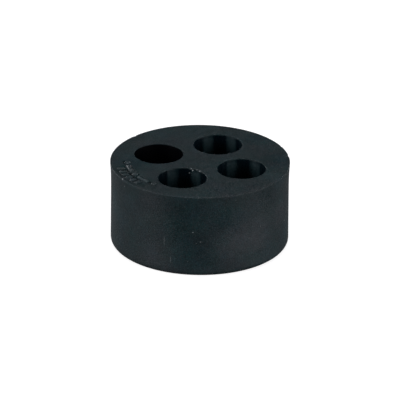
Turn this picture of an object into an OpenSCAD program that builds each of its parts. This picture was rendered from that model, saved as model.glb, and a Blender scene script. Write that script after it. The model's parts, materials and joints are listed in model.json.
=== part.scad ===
// Sealing insert for a cable gland: a round rubber plug with one through hole for each cable.
// The origin is the centre of the lower face, and the plug's axis is +Z.

/* [Body] */
// Diameter of the straight outer wall, which the gland's bore grips
body_d = 25.7; // [22:0.1:40]
// Height from the lower face to the upper face
body_h = 12.5; // [8:0.5:25]
// Rounding where the outer wall meets the lower face
foot_round = 0.5; // [0.1:0.05:1]

/* [Rim] */
// How far the upper rim stands out past the straight wall
flare = 0.15; // [0.05:0.05:0.5]
// Height of the stretch under the rim over which the wall widens
flare_h = 3.5; // [1:0.5:6]
// Rounding where the rim meets the upper face
rim_round = 0.3; // [0.1:0.05:0.6]

/* [Cable holes] */
// Number of cable holes, spaced evenly round the axis
hole_count = 4; // [2:1:5]
// Diameter of one cable hole
hole_d = 7; // [4:0.1:8.4]
// Thinnest rubber between two neighbouring holes
web = 2.2; // [1:0.1:4]
// Rounding at both ends of each hole
hole_round = 0.2; // [0.05:0.05:0.4]

/* [Moulded mark] */
// Height of the mark over the upper face
mark_h = 0.2; // [0.1:0.05:0.4]
// Width of the mark's bars
bar_w = 0.4; // [0.2:0.05:0.6]
// Diameter of the mark's round pips
pip_d = 0.7; // [0.4:0.05:1]
// Number of short ticks in the outer row
tick_count = 6; // [3:1:7]
// Length of one tick, measured along the radius
tick_l = 0.9; // [0.5:0.05:1.2]
// Distance between the ticks, measured round the rim
tick_pitch = 1.1; // [0.8:0.1:1.4]
// Clear face between the rim's rounding and the ticks
mark_inset = 0.5; // [0.3:0.1:1]
// Length of the inner row of pips and bars, measured round the rim
row_l = 8.6; // [4:0.2:12]
// Clear face between the ticks and the inner row
row_gap = 0.45; // [0.3:0.05:0.8]
// Least clear face between the inner row and a hole's mouth
hole_gap = 0.4; // [0.2:0.1:1]
// Turn of the mark past the middle of the gap between two holes, in degrees
mark_turn = 5; // [0:1:8]

/* [Hidden] */

// Rubber as the photograph shows it
RUBBER = [0.16, 0.18, 0.19];

// Outer wall: it widens along one arc, which starts in line with the straight wall
body_r = body_d / 2;
rim_r = body_r + flare;
flare_z = body_h - rim_round - flare_h;
flare_arc = (pow(flare_h, 2) + pow(flare, 2)) / (2 * flare);

// Holes: the web is the shortest way between two holes, so it sets the circle that they stand on
hole_r = hole_d / 2;
hole_circle_d = (hole_d + web) / sin(180 / hole_count);
hole_step = 360 / hole_count;

// Mark: it lies near the rim, in the gap between two holes
mark_gap = floor(hole_count / 2);
mark_angle = hole_step * (mark_gap + 0.5) + mark_turn;
tick_r = rim_r - rim_round - mark_inset - tick_l / 2;
row_r = tick_r - tick_l / 2 - row_gap - pip_d / 2;
// Turn from the row's middle to its end pips, which stay clear of the holes on both sides
row_free = hole_step / 2 - hole_reach(row_r, hole_r + hole_round + hole_gap + pip_d / 2) - mark_turn;
row_turn = min(turn_of(row_l / 2, row_r), row_free);
// How deep the mark's pieces reach into the face, so that they grow out of it
root = 0.5;

// Overlap of a cutting shape past the face that it cuts
past = 1;

FINE = 128;
SMALL = 48;

// Angle at the axis of a length measured round a circle of radius r
function turn_of(length, r) = length / r * 180 / PI;

// Half the angle that a hole and a clearance, reach in all, take up on a circle of radius r round the axis
function hole_reach(r, reach) =
    let (c = hole_circle_d / 2)
    acos(min(1, (pow(r, 2) + pow(c, 2) - pow(reach, 2)) / (2 * r * c)));

// Half section of the solid plug, to the right of its axis
module section() {
    difference() {
        polygon([
            [0, 0],
            [body_r, 0],
            [body_r, flare_z],
            [rim_r, flare_z],
            [rim_r, body_h],
            [0, body_h]
        ]);
        translate([body_r + flare_arc, flare_z])
            circle(flare_arc, $fn = FINE);
        translate([body_r, 0])
            corner(foot_round, -1, 1);
        translate([rim_r, body_h])
            corner(rim_round, -1, -1);
    }
}

// What a rounding of radius r takes off a square corner at the origin.
// side_x and side_y point from the corner into the material.
module corner(r, side_x, side_y) {
    difference() {
        translate([min(side_x, 0) * r, min(side_y, 0) * r])
            square(r);
        translate([side_x * r, side_y * r])
            circle(r, $fn = SMALL);
    }
}

// One cable hole on the axis, with both its mouths rounded
module cable_hole() {
    translate([0, 0, -past])
        cylinder(r = hole_r, h = body_h + 2 * past, $fn = FINE);
    mouth();
    translate([0, 0, body_h])
        mirror([0, 0, 1])
            mouth();
}

// What the rounding of a hole's lower mouth takes off
module mouth() {
    rotate_extrude($fn = FINE)
        difference() {
            translate([0, -hole_round])
                square([hole_r + hole_round, 2 * hole_round]);
            translate([hole_r + hole_round, hole_round])
                circle(hole_round, $fn = SMALL);
        }
}

// Puts one piece of the mark on the upper face, r from the axis and turned from the mark's middle
module on_face(r, turn) {
    rotate(mark_angle + turn)
        translate([r, 0, body_h - root])
            children();
}

// Round pip of the mark
module pip(r, turn) {
    on_face(r, turn)
        cylinder(d = pip_d, h = root + mark_h, $fn = SMALL);
}

// Short straight bar of the mark, along the radius
module tick(r, turn) {
    on_face(r, turn)
        translate([-tick_l / 2, -bar_w / 2, 0])
            cube([tick_l, bar_w, root + mark_h]);
}

// Long bar of the mark, bent round the axis between two turns
module arc_bar(r, first, last) {
    translate([0, 0, body_h - root])
        rotate(mark_angle + first)
            rotate_extrude(angle = last - first, $fn = FINE)
                translate([r - bar_w / 2, 0])
                    square([bar_w, root + mark_h]);
}

// Mould mark: a row of ticks by the rim, and a row of pips and bars inside it
module mark() {
    for (i = [0 : tick_count - 1])
        tick(tick_r, turn_of(tick_pitch, tick_r) * (i - (tick_count - 1) / 2));
    for (share = [-1, 0, 1])
        pip(row_r, share * row_turn);
    for (share = [-0.5, 0.5])
        arc_bar(row_r, (share - 0.25) * row_turn, (share + 0.25) * row_turn);
}

module sealing_insert() {
    color(RUBBER)
        union() {
            difference() {
                rotate_extrude($fn = FINE)
                    section();
                for (i = [0 : hole_count - 1])
                    rotate(i * hole_step)
                        translate([hole_circle_d / 2, 0, 0])
                            cable_hole();
            }
            mark();
        }
}

sealing_insert();
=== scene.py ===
"""Looks of a black rubber sealing insert for a cable gland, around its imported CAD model.

The insert is one rubber moulding, so one closed mesh stands for the CAD node. It keeps the CAD sizes and
adds what a mould and handling leave on rubber: scraps of flash at the mouths of the holes, small dents in
the rim, and an uneven, worn mark with a shallow groove round its strokes.
"""
import json
import math

import bmesh
import bpy
import numpy as np
from mathutils import Matrix, Vector
from mathutils.geometry import delaunay_2d_cdt


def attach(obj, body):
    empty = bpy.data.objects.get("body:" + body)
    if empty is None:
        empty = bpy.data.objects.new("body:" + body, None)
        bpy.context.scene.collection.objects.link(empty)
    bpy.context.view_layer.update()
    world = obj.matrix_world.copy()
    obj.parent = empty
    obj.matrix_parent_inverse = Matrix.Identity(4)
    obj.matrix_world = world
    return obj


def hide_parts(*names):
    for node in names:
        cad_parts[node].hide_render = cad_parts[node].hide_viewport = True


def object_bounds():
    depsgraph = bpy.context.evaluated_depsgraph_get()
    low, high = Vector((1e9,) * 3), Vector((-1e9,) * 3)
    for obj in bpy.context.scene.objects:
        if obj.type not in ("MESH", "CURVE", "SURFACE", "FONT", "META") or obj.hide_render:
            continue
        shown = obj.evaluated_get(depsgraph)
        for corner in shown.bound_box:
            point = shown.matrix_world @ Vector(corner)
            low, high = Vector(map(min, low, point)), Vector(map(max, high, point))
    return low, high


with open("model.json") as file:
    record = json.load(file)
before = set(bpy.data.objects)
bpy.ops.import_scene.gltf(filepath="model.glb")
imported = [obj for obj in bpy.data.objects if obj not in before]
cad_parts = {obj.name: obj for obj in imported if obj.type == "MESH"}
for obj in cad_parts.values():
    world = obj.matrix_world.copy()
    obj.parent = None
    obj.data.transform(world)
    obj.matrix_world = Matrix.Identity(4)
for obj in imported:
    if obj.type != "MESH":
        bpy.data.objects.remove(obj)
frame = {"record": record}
CAD_LOW, CAD_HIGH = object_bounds()
MM = 0.001

# View of the photograph: angles in degrees, and the way from the foot of the insert's axis to the camera
CAMERA_AZIMUTH = 22.98
CAMERA_ELEVATION = 24.41
CAMERA_ROLL = 0.47
CAMERA_WAY = 2.0
SENSOR = 36.0
LENS = 1243.4
CLIP = (0.1, 20)
# The point that the camera looks at: above the foot of the axis, and to its right
AIM_UP = 6.351 * MM
AIM_RIGHT = 0.032 * MM

# Sizes that the record's mounts give
MOUNTS = {mount["name"]: mount for mount in frame["record"]["mounts"]}
WALL = MOUNTS["outer_wall"]
HOLES = [mount for name, mount in sorted(MOUNTS.items()) if name.startswith("cable_hole")]
TOP = MOUNTS["upper_face"]["pos_m"][2]
BODY_R = WALL["dims"]["r_mm"] * MM
FLARE_Z = WALL["pos_m"][2] + WALL["dims"]["length_mm"] * MM / 2
HOLE_R = HOLES[0]["dims"]["r_mm"] * MM
HOLE_CENTRES = [np.array(hole["pos_m"][:2]) for hole in HOLES]
MARK_H = CAD_HIGH.z - TOP
# The rim stays a hair inside the CAD model's box
BOX_GAP = 0.002 * MM
RIM_R = min(CAD_HIGH.x, CAD_HIGH.y) - BOX_GAP

# Edges as the photograph shows them: the foot is softer than in the CAD model, the others are sharper
FOOT_ROUND = 0.8 * MM
RIM_ROUND = 0.07 * MM
MOUTH_ROUND = 0.03 * MM
# The mould's draft: how much the holes widen towards their upper mouths, and over what depth
LEAD = 0.06 * MM
LEAD_DEPTH = 6.0 * MM

# Sizes of the mark as the CAD source has them
MARK_RIM_ROUND = 0.3 * MM
BAR_W = 0.4 * MM
PIP_D = 0.7 * MM
TICK_COUNT = 6
TICK_L = 0.9 * MM
TICK_PITCH = 1.1 * MM
MARK_INSET = 0.5 * MM
ROW_L = 8.6 * MM
ROW_GAP = 0.45 * MM
MARK_TURN = math.radians(230)

# Width of the slope at the edge of the mark's strokes
MARK_EDGE = 0.2 * MM
# Share of its height that the mark has kept: level, swing, and rates per mm and shifts of waves in X and Y
MARK_WAVES = (0.86, 0.14, (2.1, 2.7), (1.0, 0.0))
# One end of the mark is worn lower: the X where that starts, the way it takes, and the share that is lost
WEAR_FROM = -6.2 * MM
WEAR_OVER = 1.6 * MM
WEAR_SHARE = 0.3
# The groove round the strokes: its middle's way from them, half its width, its depth, and its waves
GROOVE_WAY = 0.21 * MM
GROOVE_REACH = 0.16 * MM
GROOVE_DEPTH = 0.08 * MM
GROOVE_WAVES = (0.6, 0.4, (3.1, 3.7), (0.0, 0.6))

# Scraps of flash at the upper mouths: hole, middle and spread as angles round the hole, and height
FLASH = (
    ("cable_hole_4", 78, 3, 0.16 * MM),
    ("cable_hole_4", 83, 4, 0.24 * MM),
    ("cable_hole_4", 90, 3, 0.12 * MM),
    ("cable_hole_4", 112, 9, 0.07 * MM),
    ("cable_hole_2", -38, 4, 0.14 * MM),
    ("cable_hole_2", -101, 4, 0.13 * MM),
    ("cable_hole_1", 150, 12, 0.06 * MM),
    ("cable_hole_3", 55, 12, 0.05 * MM),
    ("cable_hole_3", -120, 10, 0.05 * MM),
)
# How far a scrap of flash reaches from the mouth's edge, and how far it rises as a share of its height
FLASH_REACH = 0.16 * MM
FLASH_RISE = 0.6
# Dents in the rim: bearing, spread as an angle, and depth
DENTS = (
    (33, 2.2, 0.10 * MM),
    (48, 1.2, 0.06 * MM),
    (-69, 1.6, 0.07 * MM),
    (160, 2.0, 0.08 * MM),
    (-127, 1.5, 0.08 * MM),
)
# How far a dent reaches from the rim's edge, and how far it presses down as a share of its depth
DENT_REACH = 0.4 * MM
DENT_DROP = 0.4

# Steps round the axis and round a hole, and along the stretches of the wall's and the holes' sections
WALL_STEPS = 720
HOLE_STEPS = 240
FOOT_STEPS = 6
STRAIGHT_STEPS = 12
FLARE_STEPS = 14
RIM_STEPS = 7
LOW_MOUTH_STEPS = 3
BORE_STEPS = 5
HIGH_MOUTH_STEPS = 4
# Depths of the rows near a hole's upper mouth
LEAD_ROWS = (LEAD_DEPTH, 0.6 * LEAD_DEPTH, 0.3 * LEAD_DEPTH, 0.5 * MM, 0.2 * MM, 0.1 * MM, 0.05 * MM)
# Pitch of the points on the upper and the lower face, and the ways of the rings of points from their edges
GRID = 0.36 * MM
UNDER_GRID = 0.9 * MM
EDGE_RINGS = (0.05 * MM, 0.13 * MM, 0.25 * MM)
# A finer grid in and round the mark, and the finest along the edges of its strokes: reach and pitch
MARK_REACH = 0.45 * MM
MARK_GRID = 0.16 * MM
STROKE_REACH = 0.17 * MM
STROKE_GRID = 0.07 * MM
# Points closer than this are one
WELD = 0.001 * MM
# The triangulation covers all that lies between its outermost points, with this tolerance in mm
FILL_ALL = 0
FILL_CLOSE = 1e-6

# Colours of the skin and of the holes' walls, each between two tints. The holes' walls go from painted
# shade, darker than the skin, to painted light in the bands
SKIN_TINTS = ((0.0, 0.0082, 0.0092, 1), (0.0005, 0.0075, 0.0096, 1))
BORE_SHADE_AND_BAND_TINTS = ((0.0, 0.0020, 0.0036, 1), (0.0, 0.0112, 0.0138, 1))
# Colours of the painted shade on the blackest hole's wall and in the groove round the mark, and of dust
BLACK_HOLE_SHADE = (0.0004, 0.0006, 0.0010, 1)
GROOVE_SHADE = (0.0, 0.0, 0.0, 1)
DUST_TINT = (0.13, 0.14, 0.135, 1)
# Tints that the painted light and the pale flecks add to the colour under them
PAINTED_LIGHT_TINT = (1.0, 0.83, 0.93)
FLECK_TINT = (0.92, 1.0, 1.0)
# Specular level, and roughness of the skin, of the holes' walls beside and in the painted light bands, and
# of the blackest
SPECULAR = 0.3
ROUGH_SKIN = 0.6
ROUGH_BORE = (0.27, 0.54)
ROUGH_BLACK = 0.22
# Roughness that the mark and the groove round it add to the skin's
MARK_ROUGHER = 0.08
GROOVE_ROUGHER = -0.3
# The hole whose wall is painted near black as painted shade, and is the smoothest
BLACK_HOLE = "cable_hole_3"

# Noises: scale per mm, detail, roughness, the stretch of the noise that is used, and what its ends become
NOISES = {
    "tint": (0.33, 3.0, 0.55, 0.38, 0.62, 0.0, 1.0),
    "bloom": (0.21, 4.0, 0.6, 0.38, 0.7, 0.8, 1.3),
    "grain": (3.4, 4.0, 0.65, 0.3, 0.7, 0.7, 1.35),
    "drag": (1.9, 3.0, 0.6, 0.3, 0.7, -0.16, 0.16),
    "painted_light": (0.9, 3.0, 0.6, 0.3, 0.7, 0.6, 1.4),
    "mark_flecks": (5.0, 2.0, 0.6, 0.5, 0.62, 0.0, 0.020),
    "skin_flecks": (5.6, 2.0, 0.6, 0.5, 0.74, 0.0, 0.010),
    "gloss": (1.3, 4.0, 0.6, 0.3, 0.7, ROUGH_SKIN - 0.05, ROUGH_SKIN + 0.06),
    "grit": (3.9, 2.0, 0.7, 0.3, 0.7, -0.12, 0.12),
}
# How much of the height counts in the drag marks' noise: little, so the marks run down the holes
DRAG_HEIGHT = 0.12
# Relief: low swells, the mould's fine grain with its share of their height, and the height of it all
SWELL_NOISE = (0.45, 2.0, 0.5)
FINE_NOISE = (4.8, 3.0, 0.6)
FINE_SHARE = 0.42
RELIEF_H = 0.09 * MM

# Painted light: brighter bands down the holes' walls, which are smoother there too: bearing, spread as an
# angle, and strength
PAINTED_BANDS = ((79, 18, 1.0), (137, 18, 1.0), (18, 18, 0.5), (-38, 22, 0.8), (-105, 24, 0.9), (-160, 18, 0.6))
# How far in mm from a hole's wall its painted light bands are worked out, and the strength they keep at its
# mouth
PAINTED_BAND_SIDE = 0.6
PAINTED_BAND_LEFT = 0.5

# Heights in mm from the upper face, between which one zone of the surface turns into another
HOLE_ZONE = (-0.22, -0.06)
PAINTED_BAND_FADE = (-0.75, -0.3)
RIM_ZONE = (-0.1, -0.02)
FACE_ZONE = (-0.1, -0.03)
GROOVE_ZONE = (-0.06, -0.01)
MARK_ZONE = (0.03, 0.1)
# How far in mm the holes' zone goes past their walls, and the groove's keeps from the mouths and the rim
HOLE_SIDE = 0.1
GROOVE_FROM_MOUTH = 0.3
GROOVE_FROM_RIM = 0.4
# The rim's painted highlight: ways in mm from the rim where it begins and is full, and how much paler it is
RIM_BAND = (0.62, 0.42)
RIM_HIGHLIGHT = 0.0032
# The side where it is painted, and the cosines of the turn from there where it begins and is full
HIGHLIT_SIDE = (0.55, -0.83, 0.0)
HIGHLIT_FACING = (0.3, 0.8)
# Painted light from the floor on the foot: its height in mm, and how much paler it is
FOOT_BAND = 2.2
FOOT_BOUNCE = 0.005

# Patches of the skin: middle in mm, reach in mm, how much paler as painted light, and how much rougher than
# the rest
LIGHT_AND_GLOSS_PATCHES = (
    ((9.0, -9.2, 4.8), 4.4, 0.010, 0.0),
    ((11.4, -5.9, 5.4), 4.0, 0.008, 0.0),
    ((-1.4, -12.8, 2.2), 4.0, 0.006, 0.0),
    ((-2.4, -12.6, 11.3), 2.6, 0.004, 0.0),
    ((8.4, -9.7, 8.5), 3.8, 0.0, -0.20),
    ((2.6, -12.6, 10.0), 4.8, 0.0, -0.19),
    ((4.3, -12.1, 4.5), 4.5, 0.0, -0.10),
    ((2.0, -12.7, 6.8), 3.6, 0.0, -0.10),
    ((12.2, -3.9, 10.8), 3.8, 0.0, -0.21),
    ((12.8, -0.6, 6.8), 3.2, 0.005, 0.0),
    ((11.9, -5.0, 2.2), 3.0, 0.0, -0.12),
    ((9.5, 4.4, 12.5), 4.5, 0.0, -0.10),
    ((4.3, 10.2, 12.5), 3.0, 0.0, -0.07),
    ((-8.5, -4.5, 12.5), 4.0, 0.0, -0.12),
    ((-9.7, 2.0, 12.5), 3.5, 0.003, 0.0),
    ((-1.4, 7.6, 12.5), 3.0, 0.004, 0.0),
)
# Pale specks, scraps and upright scuffs, partly painted glints: middle in mm, half width and half height in
# mm, how much paler
SPECKS_AND_GLINTS = (
    ((-7.75, -10.25, 12.45), 0.17, 0.17, 0.22),
    ((-7.50, -10.05, 12.5), 0.16, 0.16, 0.03),
    ((4.82, -11.84, 12.5), 0.26, 0.20, 0.022),
    ((6.46, -11.11, 12.5), 0.32, 0.20, 0.012),
    ((4.14, -12.16, 6.99), 0.14, 0.12, 0.11),
    ((5.16, -11.77, 5.52), 0.14, 0.15, 0.06),
    ((-0.07, -12.85, 5.23), 0.13, 1.00, 0.032),
    ((0.95, -12.81, 2.39), 0.13, 0.75, 0.032),
    ((-6.79, -10.91, 1.76), 0.18, 0.12, 0.014),
    ((-0.70, -12.83, 1.31), 0.14, 0.10, 0.018),
    ((-0.12, -3.00, 12.50), 0.17, 0.17, 0.25),
    ((0.10, -3.00, 12.26), 0.16, 0.16, 0.30),
    ((0.77, -3.00, 12.50), 0.22, 0.18, 0.09),
    ((1.32, -3.15, 12.45), 0.17, 0.17, 0.18),
    ((-0.38, -3.03, 11.80), 0.15, 0.18, 0.15),
    ((2.07, -3.60, 12.45), 0.14, 0.14, 0.04),
)
# The even middle of a speck, as a share of its half width
SPECK_CORE = 0.3
# Dust: cells per mm, the share of them without a grain, the largest grain in cells, and how pale a grain is
DUST_CELLS = 0.85
DUST_NONE = 0.9
DUST_SIZE = 0.1
DUST_SHARE = 0.6

# Lamps: name, bearing and elevation as angles, width and height in metres, and radiance
LAMPS = (
    ("left", -60, 15, 0.21, 0.36, 18.4),
    ("left_high", -90, 32, 0.21, 0.21, 9.3),
    ("left_side", -100, 12, 0.30, 0.20, 6.0),
    ("right", 45, 20, 0.21, 0.21, 18.5),
    ("right_low", 76, 8.5, 0.60, 0.21, 10.7),
    ("top", 0, 88, 0.30, 0.30, 11.6),
    ("back_left", -147, 8.5, 0.30, 0.21, 11.2),
    ("back_right", 150, 8.5, 0.21, 0.21, 8.4),
)
# Their way from the foot of the axis, and their faint tint
LAMP_WAY = 0.8
LAMP_TINT = (1.0, 0.98, 1.03)
# The floor: half its side, its gap to the insert, its glow and shade to the camera, and its shade as a lamp
FLOOR_REACH = 3.0
FLOOR_GAP = 0.01 * MM
FLOOR_GLOW = 0.85
FLOOR_SEEN = (0.3, 0.3, 0.3, 1)
FLOOR_DIM = (0.2, 0.2, 0.2, 1)
# Brightness of the backdrop
BACKDROP = 1.2
WHITE = (1, 1, 1, 1)
BLACK = (0, 0, 0, 1)


def arc(centre, radius, first, last, steps):
    """Points on an arc in the plane of a section, angles in degrees."""
    angles = np.radians(np.linspace(first, last, steps + 1))
    return [(centre[0] + radius * math.cos(a), centre[1] + radius * math.sin(a)) for a in angles]


def straight(start, end, steps):
    """Points between two points of a section, without the two themselves."""
    return [tuple(np.array(start) + (np.array(end) - np.array(start)) * i / steps) for i in range(1, steps)]


def wall_section():
    """Section of the outer wall from the lower face's edge to the upper face's edge."""
    rise = TOP - RIM_ROUND - FLARE_Z
    flare = RIM_R - BODY_R
    bend = (rise**2 + flare**2) / (2 * flare)
    swept = math.degrees(math.asin(rise / bend))
    foot = arc((BODY_R - FOOT_ROUND, FOOT_ROUND), FOOT_ROUND, -90, 0, FOOT_STEPS)
    widening = arc((BODY_R + bend, FLARE_Z), bend, 180, 180 - swept, FLARE_STEPS)
    rim = arc((RIM_R - RIM_ROUND, TOP - RIM_ROUND), RIM_ROUND, 0, 90, RIM_STEPS)
    return foot + straight(foot[-1], widening[0], STRAIGHT_STEPS) + widening + rim[1:]


def hole_section():
    """Section of a hole's wall from the lower mouth's edge to the upper mouth's edge."""
    low = arc((HOLE_R + MOUTH_ROUND, MOUTH_ROUND), MOUTH_ROUND, 270, 180, LOW_MOUTH_STEPS)
    high_centre = (HOLE_R + LEAD + MOUTH_ROUND, TOP - MOUTH_ROUND)
    high = arc(high_centre, MOUTH_ROUND, 180, 90, HIGH_MOUTH_STEPS)
    lead = [(HOLE_R + LEAD * (1 - depth / LEAD_DEPTH), high[0][1] - depth) for depth in LEAD_ROWS]
    return low + straight(low[-1], lead[0], BORE_STEPS) + lead + high


def circle(centre, radius, steps):
    """Points of a circle as an array of X and Y."""
    angles = np.arange(steps) * 2 * math.pi / steps
    return np.array(centre) + radius * np.column_stack([np.cos(angles), np.sin(angles)])


def revolve(section, centre, steps, outward):
    """Vertices and faces of a section turned round a vertical axis through centre."""
    rows = [np.column_stack([circle(centre, r, steps), np.full(steps, z)]) for r, z in section]
    faces = []
    for row in range(len(section) - 1):
        for i in range(steps):
            j = (i + 1) % steps
            quad = (row * steps + i, row * steps + j, (row + 1) * steps + j, (row + 1) * steps + i)
            faces.append(quad if outward else quad[::-1])
    return np.concatenate(rows), faces


def turn_from(points, centre, bearing):
    """Angle of points round centre, counted from bearing, between -180 and 180 degrees."""
    angle = np.degrees(np.arctan2(points[:, 1] - centre[1], points[:, 0] - centre[0]))
    return (angle - bearing + 180) % 360 - 180


def bell(x):
    """1 at 0, falling evenly to 0 at -1 and 1."""
    return np.cos(np.clip(x, -1, 1) * math.pi / 2) ** 2


def smooth_step(x):
    """0 below 0, 1 above 1, and an even slope between."""
    x = np.clip(x, 0, 1)
    return x * x * (3 - 2 * x)


def waves(spots, level, swing, rates, shifts):
    """Uneven share over the upper face, with waves along X and Y round a level."""
    swings = np.sin(spots / MM * rates + shifts)
    return level + swing * swings[:, 0] * swings[:, 1]


def dent_rim(points):
    """Presses the dents into the rim's edge."""
    radius = np.hypot(points[:, 0], points[:, 1])
    edge = bell((points[:, 2] - (TOP - RIM_ROUND / 2)) / DENT_REACH) * bell((radius - RIM_R) / DENT_REACH)
    for bearing, spread, depth in DENTS:
        share = edge * bell(turn_from(points, (0, 0), bearing) / spread)
        points[:, :2] *= (1 - share * depth / RIM_R)[:, None]
        points[:, 2] -= share * depth * DENT_DROP


def add_flash(points, hole):
    """Pulls the scraps of flash inwards and up at the edge of a hole's upper mouth."""
    centre = np.array(hole["pos_m"][:2])
    way = points[:, :2] - centre
    radius = np.hypot(way[:, 0], way[:, 1])
    depth = TOP - points[:, 2]
    at_edge = bell((radius - HOLE_R - LEAD) / FLASH_REACH) * bell(depth / FLASH_REACH)
    for name, middle, spread, height in FLASH:
        if name == hole["name"]:
            share = at_edge * bell(turn_from(points, centre, middle) / spread)
            points[:, :2] -= way / radius[:, None] * (share * height)[:, None]
            points[:, 2] += share * height * FLASH_RISE


def hex_grid(reach, pitch):
    """Points of a triangular grid over a square that reaches that far from the axis."""
    count = int(reach / pitch) + 2
    i, j = np.meshgrid(np.arange(-count, count + 1), np.arange(-count, count + 1))
    row = pitch * math.sqrt(3) / 2
    return np.column_stack([((i + 0.5 * (j % 2)) * pitch).ravel(), (j * row).ravel()])


def way_in(points, outer, mouth):
    """How far points lie inside a flat face's outline, negative outside it or over a hole's mouth."""
    way = outer - np.hypot(points[:, 0], points[:, 1])
    for centre in HOLE_CENTRES:
        way = np.minimum(way, np.hypot(*(points - centre).T) - mouth)
    return way


def box_way(along, across, length, width):
    """Signed way to the edge of a rectangle round the origin, negative inside it."""
    reach = np.column_stack([np.abs(along) - length / 2, np.abs(across) - width / 2])
    return np.hypot(*np.maximum(reach, 0).T) + np.minimum(reach.max(axis=1), 0)


def mark_way(points):
    """Signed way from points on the upper face to the edge of the mark, negative inside it."""
    tick_r = RIM_R - MARK_RIM_ROUND - MARK_INSET - TICK_L / 2
    row_r = tick_r - TICK_L / 2 - ROW_GAP - PIP_D / 2
    spread = ROW_L / 2 / row_r
    radius = np.hypot(points[:, 0], points[:, 1])
    turn = np.radians(turn_from(points, (0, 0), math.degrees(MARK_TURN)))
    ways = []
    for i in range(TICK_COUNT):
        off = turn - TICK_PITCH / tick_r * (i - (TICK_COUNT - 1) / 2)
        ways.append(box_way(radius * np.cos(off) - tick_r, radius * np.sin(off), TICK_L, BAR_W))
    for share in (-1, 0, 1):
        off = turn - share * spread
        ways.append(np.hypot(radius * np.cos(off) - row_r, radius * np.sin(off)) - PIP_D / 2)
    for share in (-0.5, 0.5):
        ways.append(box_way((turn - share * spread) * row_r, radius - row_r, 0.5 * spread * row_r, BAR_W))
    return np.min(ways, axis=0)


def raise_mark(points):
    """Lifts the upper face where the worn mark stands, and sinks the groove round its strokes."""
    on_top = points[:, 2] > TOP - WELD
    spots = points[on_top, :2]
    way = mark_way(spots)
    kept = waves(spots, *MARK_WAVES)
    kept -= WEAR_SHARE * smooth_step((WEAR_FROM - spots[:, 0]) / WEAR_OVER)
    points[on_top, 2] += MARK_H * kept * smooth_step(0.5 - way / MARK_EDGE)
    groove = waves(spots, *GROOVE_WAVES)
    points[on_top, 2] -= GROOVE_DEPTH * groove * bell((way - GROOVE_WAY) / GROOVE_REACH)


def inner_points(outer, mouth, upper):
    """Points inside a flat face: rings along its edges, an even grid, and finer grids at the mark."""
    parts = []
    for offset in EDGE_RINGS if upper else EDGE_RINGS[1:2]:
        parts.append(circle((0, 0), outer - offset, WALL_STEPS))
        parts += [circle(centre, mouth + offset, HOLE_STEPS) for centre in HOLE_CENTRES]
    clear = EDGE_RINGS[-1]
    grid = hex_grid(RIM_R, GRID if upper else UNDER_GRID)
    grid = grid[way_in(grid, outer, mouth) > clear + GRID / 2]
    if not upper:
        return np.concatenate(parts + [grid])
    parts.append(grid[mark_way(grid) > MARK_REACH])
    grid = hex_grid(RIM_R, MARK_GRID)
    grid = grid[way_in(grid, outer, mouth) > clear + MARK_GRID / 2]
    way = mark_way(grid)
    parts.append(grid[(way < MARK_REACH) & (np.abs(way) > STROKE_REACH)])
    grid = hex_grid(RIM_R, STROKE_GRID)
    grid = grid[way_in(grid, outer, mouth) > clear + STROKE_GRID / 2]
    parts.append(grid[np.abs(mark_way(grid)) < STROKE_REACH])
    return np.concatenate(parts)


def flat_face(z, outer, mouth, upper):
    """Vertices and triangles of a flat face with the mouths of the holes left open."""
    loops = [circle((0, 0), outer, WALL_STEPS)]
    loops += [circle(centre, mouth, HOLE_STEPS) for centre in HOLE_CENTRES]
    edges = []
    start = 0
    for loop in loops:
        edges += [(start + i, start + (i + 1) % len(loop)) for i in range(len(loop))]
        start += len(loop)
    flat = np.concatenate(loops + [inner_points(outer, mouth, upper)])
    made = delaunay_2d_cdt([Vector(p / MM) for p in flat], edges, [], FILL_ALL, FILL_CLOSE)
    points = np.array([(p.x * MM, p.y * MM) for p in made[0]])
    triangles = np.array(made[2])
    triangles = triangles[way_in(points[triangles].mean(axis=1), outer, mouth) > WELD]
    if not upper:
        triangles = triangles[:, ::-1]
    return np.column_stack([points, np.full(len(points), z)]), triangles.tolist()


def build_insert():
    """The insert as one closed mesh object."""
    wall, wall_faces = revolve(wall_section(), (0, 0), WALL_STEPS, True)
    dent_rim(wall)
    top, top_faces = flat_face(TOP, RIM_R - RIM_ROUND, HOLE_R + LEAD + MOUTH_ROUND, True)
    raise_mark(top)
    dent_rim(top)
    for hole in HOLES:
        add_flash(top, hole)
    under = flat_face(0.0, BODY_R - FOOT_ROUND, HOLE_R + MOUTH_ROUND, False)
    parts = [(wall, wall_faces), (top, top_faces), under]
    for hole, centre in zip(HOLES, HOLE_CENTRES):
        bore, bore_faces = revolve(hole_section(), centre, HOLE_STEPS, False)
        add_flash(bore, hole)
        parts.append((bore, bore_faces))
    points = []
    faces = []
    start = 0
    for vertices, polygons in parts:
        points.append(vertices)
        faces += [tuple(i + start for i in polygon) for polygon in polygons]
        start += len(vertices)
    mesh = bpy.data.meshes.new("sealing_insert_rubber")
    mesh.from_pydata(np.concatenate(points).tolist(), [], faces)
    bm = bmesh.new()
    bm.from_mesh(mesh)
    bmesh.ops.remove_doubles(bm, verts=bm.verts, dist=WELD)
    bmesh.ops.recalc_face_normals(bm, faces=bm.faces)
    for face in bm.faces:
        face.smooth = True
    bm.to_mesh(mesh)
    bm.free()
    insert = bpy.data.objects.new("sealing_insert_rubber", mesh)
    bpy.context.scene.collection.objects.link(insert)
    return insert


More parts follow.
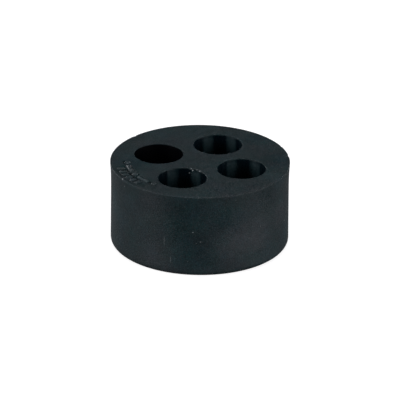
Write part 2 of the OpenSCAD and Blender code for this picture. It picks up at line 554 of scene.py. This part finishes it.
class Graph:
    """Short ways to add nodes to a material or a world and join them up."""

    def __init__(self, owner):
        owner.use_nodes = True
        self.nodes = owner.node_tree.nodes
        self.links = owner.node_tree.links

    def add(self, kind, inputs=None, **settings):
        """A new node with its settings made and its inputs set or joined."""
        made = self.nodes.new("ShaderNode" + kind)
        for name, value in settings.items():
            setattr(made, name, value)
        for key, value in (inputs or {}).items():
            self.put(made.inputs[key], value)
        return made

    def put(self, socket, value):
        """Joins a socket to another one, or sets its value."""
        if isinstance(value, bpy.types.NodeSocket):
            self.links.new(value, socket)
        else:
            socket.default_value = value

    def math(self, operation, *values):
        """Result of a sum on numbers."""
        return self.add("Math", dict(enumerate(values)), operation=operation).outputs[0]

    def times(self, product, *factors):
        """Product of two or more numbers."""
        for factor in factors:
            product = self.math("MULTIPLY", product, factor)
        return product

    def remainder(self, share):
        """What a share leaves of 1."""
        return self.math("SUBTRACT", 1.0, share)

    def vector(self, operation, *values):
        """Vector result of a sum on vectors."""
        return self.add("VectorMath", dict(enumerate(values)), operation=operation).outputs[0]

    def scaled(self, vector, factor):
        """A vector or colour times a number."""
        return self.add("VectorMath", {0: vector, "Scale": factor}, operation="SCALE").outputs[0]

    def dot(self, a, b):
        """Dot product of two vectors."""
        return self.add("VectorMath", {0: a, 1: b}, operation="DOT_PRODUCT").outputs["Value"]

    def distance(self, a, b):
        """Distance between two points."""
        return self.add("VectorMath", {0: a, 1: b}, operation="DISTANCE").outputs["Value"]

    def noise(self, vector, scale, detail, roughness):
        """Even noise round 0.5."""
        inputs = {"Vector": vector, "Scale": scale, "Detail": detail, "Roughness": roughness}
        return self.add("TexNoise", inputs).outputs[0]

    def uneven(self, name, vector):
        """One of the named noises, spread over its own range."""
        scale, detail, roughness, *spread = NOISES[name]
        return self.ramp(self.noise(vector, scale, detail, roughness), *spread)

    def ramp(self, value, low, high, to_low=0.0, to_high=1.0):
        """Soft change from one number to another while value goes from low to high."""
        inputs = {"Value": value, 1: low, 2: high, 3: to_low, 4: to_high}
        return self.add("MapRange", inputs, interpolation_type="SMOOTHSTEP").outputs[0]

    def mix(self, share, a, b):
        """Colour between a and b."""
        return self.add("Mix", {0: share, 6: a, 7: b}, data_type="RGBA").outputs[2]

    def between(self, share, a, b):
        """Number between a and b."""
        return self.add("Mix", {0: share, 2: a, 3: b}, data_type="FLOAT").outputs[0]


class Zones:
    """Where a place lies on the insert, in mm, and how far it belongs to each zone, from 0 to 1."""

    def __init__(self, g):
        self.g = g
        mouth_r = (HOLE_R + LEAD) / MM
        self.mm = g.vector("MULTIPLY", g.add("TexCoord").outputs["Object"], (1 / MM,) * 3)
        self.flat = g.vector("MULTIPLY", self.mm, (1, 1, 0))
        self.height = g.add("SeparateXYZ", {0: self.mm}).outputs[2]
        self.axis_way = g.distance(self.flat, (0, 0, 0))
        self.hole_ways = [g.distance(self.flat, (*(centre / MM), 0)) for centre in HOLE_CENTRES]
        nearest = self.hole_ways[0]
        for way in self.hole_ways[1:]:
            nearest = g.math("MINIMUM", nearest, way)

        # The walls of the holes, the wall of the blackest one, painted with shade, and the rest of the
        # surface
        deep = self.above(HOLE_ZONE, 1.0, 0.0)
        black_way = self.hole_ways[[hole["name"] for hole in HOLES].index(BLACK_HOLE)]
        self.in_holes = g.times(deep, g.math("LESS_THAN", nearest, mouth_r + HOLE_SIDE))
        self.in_black_hole = g.times(deep, g.math("LESS_THAN", black_way, mouth_r + HOLE_SIDE))
        self.outside = g.remainder(self.in_holes)

        # The upper face, the outer wall, the mark, and the groove round its strokes
        self.on_top = self.above(FACE_ZONE)
        self.on_wall = g.remainder(self.on_top)
        self.on_mark = self.above(MARK_ZONE)
        past_mouths = g.math("GREATER_THAN", nearest, mouth_r + GROOVE_FROM_MOUTH)
        inside_rim = g.math("LESS_THAN", self.axis_way, RIM_R / MM - GROOVE_FROM_RIM)
        self.in_groove = g.times(past_mouths, inside_rim, self.above(GROOVE_ZONE, 1.0, 0.0))

        # The patches of painted light and of gloss on the skin, each of them only on the face or only on the
        # wall
        self.light_and_gloss_patches = []
        for middle, reach, paler, rougher in LIGHT_AND_GLOSS_PATCHES:
            side = self.on_top if middle[2] > TOP / MM + FACE_ZONE[0] else self.on_wall
            share = g.times(g.ramp(g.distance(self.mm, middle), 0.0, reach, 1.0, 0.0), side)
            self.light_and_gloss_patches.append((share, paler, rougher))

    def above(self, zone, to_low=0.0, to_high=1.0):
        """Soft change between two heights that are counted from the upper face."""
        return self.g.ramp(self.height, TOP / MM + zone[0], TOP / MM + zone[1], to_low, to_high)


def painted_bands(g, zones):
    """Strength of the painted light bands in the holes, with the drag marks' noise, from the direction of a
    place round its hole.
    """
    offset = (0, 0, 0)
    for way, centre in zip(zones.hole_ways, HOLE_CENTRES):
        here = g.math("LESS_THAN", way, HOLE_R / MM + PAINTED_BAND_SIDE)
        arm = g.vector("SUBTRACT", zones.flat, (*(centre / MM), 0))
        offset = g.vector("ADD", offset, g.scaled(arm, here))
    way_out = g.vector("NORMALIZE", offset)
    total = 0.0
    # Painted light: bright bands on the holes' walls, at set bearings round each hole
    for bearing, spread, strength in PAINTED_BANDS:
        line = (math.cos(math.radians(bearing)), math.sin(math.radians(bearing)), 0)
        edge = math.cos(math.radians(spread))
        total = g.math("ADD", total, g.ramp(g.dot(way_out, line), edge, 1.0, 0.0, strength))
    fade = zones.above(PAINTED_BAND_FADE, 1.0, PAINTED_BAND_LEFT)
    drag = g.uneven("drag", g.vector("MULTIPLY", zones.mm, (1, 1, DRAG_HEIGHT)))
    return g.math("ADD", g.times(total, fade), drag)


def painted_light(g, zones):
    """How much paler the skin is painted as light: a highlight on one side of the rim, light from the floor
    at the foot, and the patches.
    """
    # Painted highlight: a paler band along the rim on one side
    on_edge = g.ramp(zones.axis_way, RIM_R / MM - RIM_BAND[0], RIM_R / MM - RIM_BAND[1])
    facing = g.ramp(g.dot(g.vector("NORMALIZE", zones.flat), HIGHLIT_SIDE), *HIGHLIT_FACING)
    rim_highlight = g.times(on_edge, zones.above(RIM_ZONE), facing)
    # Painted light: the foot paler, as if lit from the floor
    foot_bounce = g.ramp(zones.height, 0.0, FOOT_BAND, 1.0, 0.0)
    painted_lightness = g.math("ADD", g.times(rim_highlight, RIM_HIGHLIGHT), g.times(foot_bounce, FOOT_BOUNCE))
    # Painted light: paler patches on the skin
    for share, paler, _ in zones.light_and_gloss_patches:
        if paler:
            painted_lightness = g.math("MULTIPLY_ADD", share, paler, painted_lightness)
    return g.times(painted_lightness, g.uneven("painted_light", zones.mm), zones.outside)


def flecks_and_glints(g, zones):
    """How much paler the flecks on the skin and the mark, the specks and the scuffs are. The mark's flecks
    and the specks are partly painted glints.
    """
    flecks = g.times(zones.on_mark, g.uneven("mark_flecks", zones.mm))
    plain_skin = g.remainder(g.math("MAXIMUM", zones.in_holes, zones.in_groove))
    flecks = g.math("MULTIPLY_ADD", g.uneven("skin_flecks", zones.mm), plain_skin, flecks)
    for middle, half_width, half_height, paler in SPECKS_AND_GLINTS:
        size = (1 / half_width, 1 / half_width, 1 / half_height)
        way = g.distance(g.vector("MULTIPLY", zones.mm, size), [m * s for m, s in zip(middle, size)])
        flecks = g.math("MULTIPLY_ADD", g.ramp(way, SPECK_CORE, 1.0, 1.0, 0.0), paler, flecks)
    return flecks


def dust(g, zones):
    """Few, small grains of dust, left out of the holes."""
    cells = g.add("TexVoronoi", {"Vector": zones.mm, "Scale": DUST_CELLS})
    chance = g.add("SeparateColor", {0: cells.outputs["Color"]})
    chosen = g.math("GREATER_THAN", chance.outputs[0], DUST_NONE)
    size = g.times(chance.outputs[1], DUST_SIZE)
    return g.times(chosen, g.math("LESS_THAN", cells.outputs["Distance"], size), zones.outside)


def rubber_colour(g, zones, painted_band):
    """Uneven, bloomed skin with painted shade and painted light bands in the holes, painted light on the
    rim, at the foot and in patches, painted shade in the blackest hole and in the groove round the mark,
    flecks and specks that are partly painted glints, and dust.
    """
    skin = g.mix(g.uneven("tint", zones.mm), *SKIN_TINTS)
    skin = g.scaled(skin, g.times(g.uneven("bloom", zones.mm), g.uneven("grain", zones.mm)))
    # The holes' walls: painted shade, lifted to painted light in the bands
    colour = g.mix(zones.in_holes, skin, g.mix(painted_band, *BORE_SHADE_AND_BAND_TINTS))
    # Painted light on the rim, at the foot and in patches
    colour = g.vector("ADD", colour, g.scaled(PAINTED_LIGHT_TINT, painted_light(g, zones)))
    # Painted shade: one hole's wall painted near black
    colour = g.mix(zones.in_black_hole, colour, BLACK_HOLE_SHADE)
    # Painted shade: the groove round the mark's strokes painted black
    colour = g.mix(zones.in_groove, colour, GROOVE_SHADE)
    # Pale flecks, specks and scuffs, partly painted glints
    colour = g.vector("ADD", colour, g.scaled(FLECK_TINT, flecks_and_glints(g, zones)))
    return g.mix(g.times(dust(g, zones), DUST_SHARE), colour, DUST_TINT)


def rubber_roughness(g, zones, painted_band):
    """Dull, gritty skin with smoother patches and a smoother groove, and smoother holes."""
    skin = g.math("ADD", g.uneven("gloss", zones.mm), g.uneven("grit", zones.mm))
    for share, _, rougher in zones.light_and_gloss_patches:
        if rougher:
            skin = g.math("MULTIPLY_ADD", share, rougher, skin)
    skin = g.math("MULTIPLY_ADD", zones.on_mark, MARK_ROUGHER, skin)
    skin = g.math("MULTIPLY_ADD", zones.in_groove, GROOVE_ROUGHER, skin)
    rough = g.between(zones.in_holes, skin, g.between(painted_band, *ROUGH_BORE))
    return g.between(zones.in_black_hole, rough, ROUGH_BLACK)


def rubber_relief(g, zones):
    """Normals of the low swells and of the mould's fine grain."""
    swell = g.noise(zones.mm, *SWELL_NOISE)
    relief = g.math("MULTIPLY_ADD", g.noise(zones.mm, *FINE_NOISE), FINE_SHARE, swell)
    return g.add("Bump", {"Strength": 1.0, "Distance": RELIEF_H, "Height": relief}).outputs[0]


def rubber():
    """Dull black moulded rubber: a bloomed and dusty skin, a fine grain, painted light and shade, and
    smoother holes with painted shade and painted light bands.
    """
    material = bpy.data.materials.new("black_rubber")
    g = Graph(material)
    zones = Zones(g)
    painted_band = painted_bands(g, zones)
    shader = g.nodes["Principled BSDF"]
    shader.inputs["Specular IOR Level"].default_value = SPECULAR
    g.put(shader.inputs["Base Color"], rubber_colour(g, zones, painted_band))
    g.put(shader.inputs["Roughness"], rubber_roughness(g, zones, painted_band))
    g.put(shader.inputs["Normal"], rubber_relief(g, zones))
    return material


def toward(azimuth, elevation):
    """Unit vector from the insert at a bearing: azimuth 0 is the camera's side and 90 is to its right."""
    a = math.radians(CAMERA_AZIMUTH + azimuth)
    e = math.radians(elevation)
    return Vector((math.sin(a) * math.cos(e), -math.cos(a) * math.cos(e), math.sin(e)))


def add_camera():
    """The photograph's camera, aimed at the middle of the insert."""
    camera = bpy.data.objects.new("camera", bpy.data.cameras.new("camera"))
    bpy.context.scene.collection.objects.link(camera)
    camera.data.sensor_width = SENSOR
    camera.data.lens = LENS
    camera.data.clip_start, camera.data.clip_end = CLIP
    camera.location = toward(0, CAMERA_ELEVATION) * CAMERA_WAY
    aim = toward(90, 0) * AIM_RIGHT + Vector((0, 0, AIM_UP))
    turn = (aim - camera.location).to_track_quat("-Z", "Y").to_matrix()
    roll = Matrix.Rotation(math.radians(CAMERA_ROLL), 3, "Z")
    camera.rotation_mode = "QUATERNION"
    camera.rotation_quaternion = (turn @ roll).to_quaternion()
    bpy.context.scene.camera = camera


def softbox(name, azimuth, elevation, width, height, radiance):
    """A soft rectangular lamp that faces the insert, as bright all over as its radiance says."""
    lamp = bpy.data.lights.new(name, "AREA")
    lamp.shape = "RECTANGLE"
    lamp.size = width
    lamp.size_y = height
    lamp.energy = radiance * math.pi * width * height
    lamp.color = LAMP_TINT
    lamp_object = bpy.data.objects.new(name, lamp)
    lamp_object.visible_camera = False
    bpy.context.scene.collection.objects.link(lamp_object)
    lamp_object.location = toward(azimuth, elevation) * LAMP_WAY
    lamp_object.rotation_mode = "QUATERNION"
    lamp_object.rotation_quaternion = toward(azimuth, elevation).to_track_quat("Z", "Y")


def add_floor():
    """A pale floor, over-exposed to the camera, dimmer as a source of light, and clear from below."""
    mesh = bpy.data.meshes.new("floor")
    sides = ((-1, -1), (1, -1), (1, 1), (-1, 1))
    corners = [(x * FLOOR_REACH, y * FLOOR_REACH, -FLOOR_GAP) for x, y in sides]
    mesh.from_pydata(corners, [], [(0, 1, 2, 3)])
    floor = bpy.data.objects.new("floor", mesh)
    bpy.context.scene.collection.objects.link(floor)
    material = bpy.data.materials.new("pale_floor")
    g = Graph(material)
    g.nodes.clear()
    glow = g.add("Emission", {"Color": WHITE, "Strength": FLOOR_GLOW}).outputs[0]
    shade = g.add("BsdfDiffuse", {"Color": FLOOR_SEEN}).outputs[0]
    pale = g.add("AddShader", {0: glow, 1: shade}).outputs[0]
    dim = g.add("BsdfDiffuse", {"Color": FLOOR_DIM}).outputs[0]
    seen = g.add("LightPath").outputs["Is Camera Ray"]
    shown = g.add("MixShader", {0: seen, 1: dim, 2: pale}).outputs[0]
    clear = g.add("BsdfTransparent").outputs[0]
    from_below = g.add("NewGeometry").outputs["Backfacing"]
    surface = g.add("MixShader", {0: from_below, 1: shown, 2: clear}).outputs[0]
    g.add("OutputMaterial", {"Surface": surface})
    mesh.materials.append(material)


def add_world():
    """A white backdrop that only the camera sees. The world gives no light of its own."""
    world = bpy.data.worlds.new("studio")
    bpy.context.scene.world = world
    g = Graph(world)
    g.nodes.clear()
    dark = g.add("Background", {"Color": BLACK}).outputs[0]
    white = g.add("Background", {"Color": WHITE, "Strength": BACKDROP}).outputs[0]
    seen = g.add("LightPath").outputs["Is Camera Ray"]
    shown = g.add("MixShader", {0: seen, 1: dark, 2: white}).outputs[0]
    g.add("OutputWorld", {"Surface": shown})


insert = build_insert()
insert.data.materials.append(rubber())
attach(insert, "root")
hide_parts("sealing_insert")

add_camera()
add_world()
add_floor()
for lamp_settings in LAMPS:
    softbox(*lamp_settings)

bpy.context.scene.view_settings.view_transform = "Standard"
